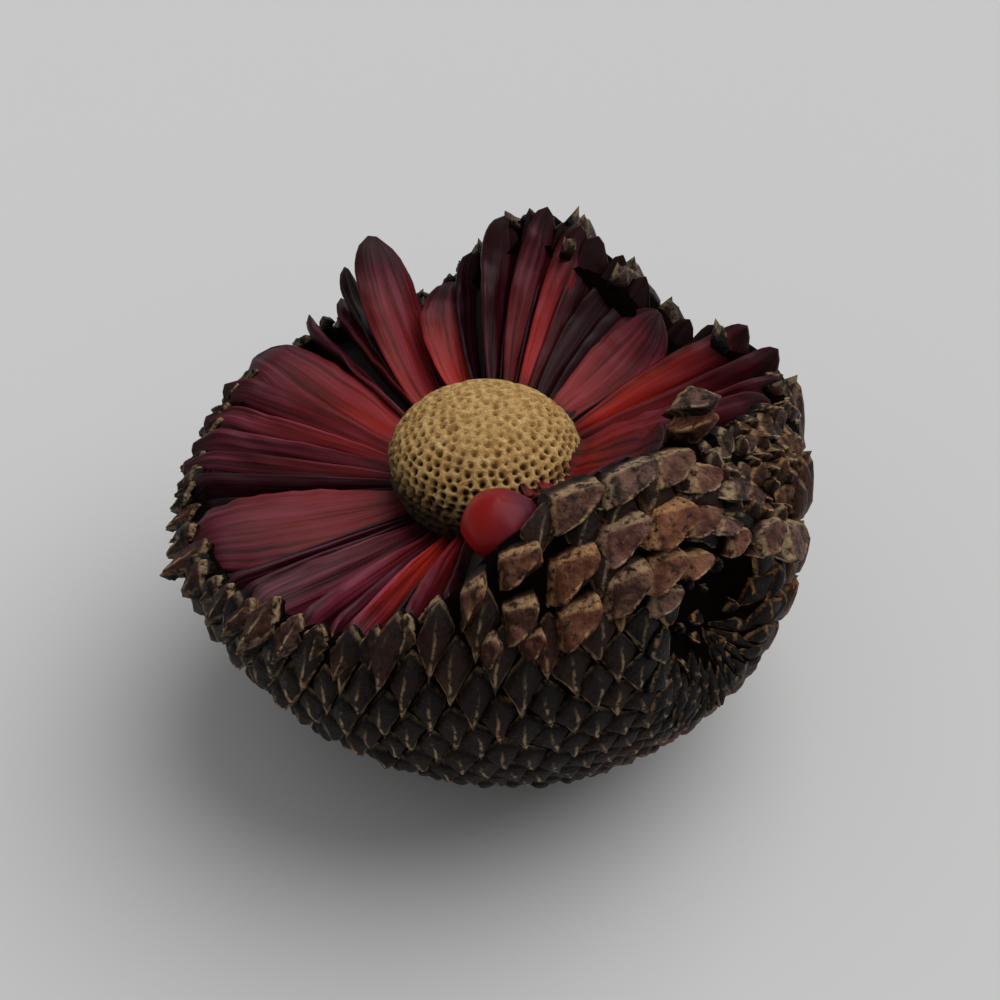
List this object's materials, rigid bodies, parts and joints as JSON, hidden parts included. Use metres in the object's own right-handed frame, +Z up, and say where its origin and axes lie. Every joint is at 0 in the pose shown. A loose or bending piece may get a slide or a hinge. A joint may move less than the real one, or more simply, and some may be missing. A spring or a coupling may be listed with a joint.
{
  "type": "araucaria cone",
  "caption": "Ripe araucaria cone broken open on top: round brown body of rhombic scale tips, maroon blades radiating from a pitted tan axis.",
  "frame": {"origin": "on the resting plane, below the middle of the cone's plan", "axes": "+Z up; +X to the right and +Y away from the viewer of the picture, so the open bowl faces up and the wound end of the cone points towards +X and -Y"},
  "size_m": [0.1632, 0.1676, 0.108],
  "materials": {
    "axis_wood": "dry fibrous tan wood with brown pits",
    "maroon_scale": "satin woody scale, streaked maroon",
    "brown_scale": "rough dark brown bark-like scale tips with tan patches"
  },
  "bodies": {
    "root": {"core": "axis_wood", "inner_scales": "maroon_scale", "outer_scales": "brown_scale"}
  },
  "joints": []
}
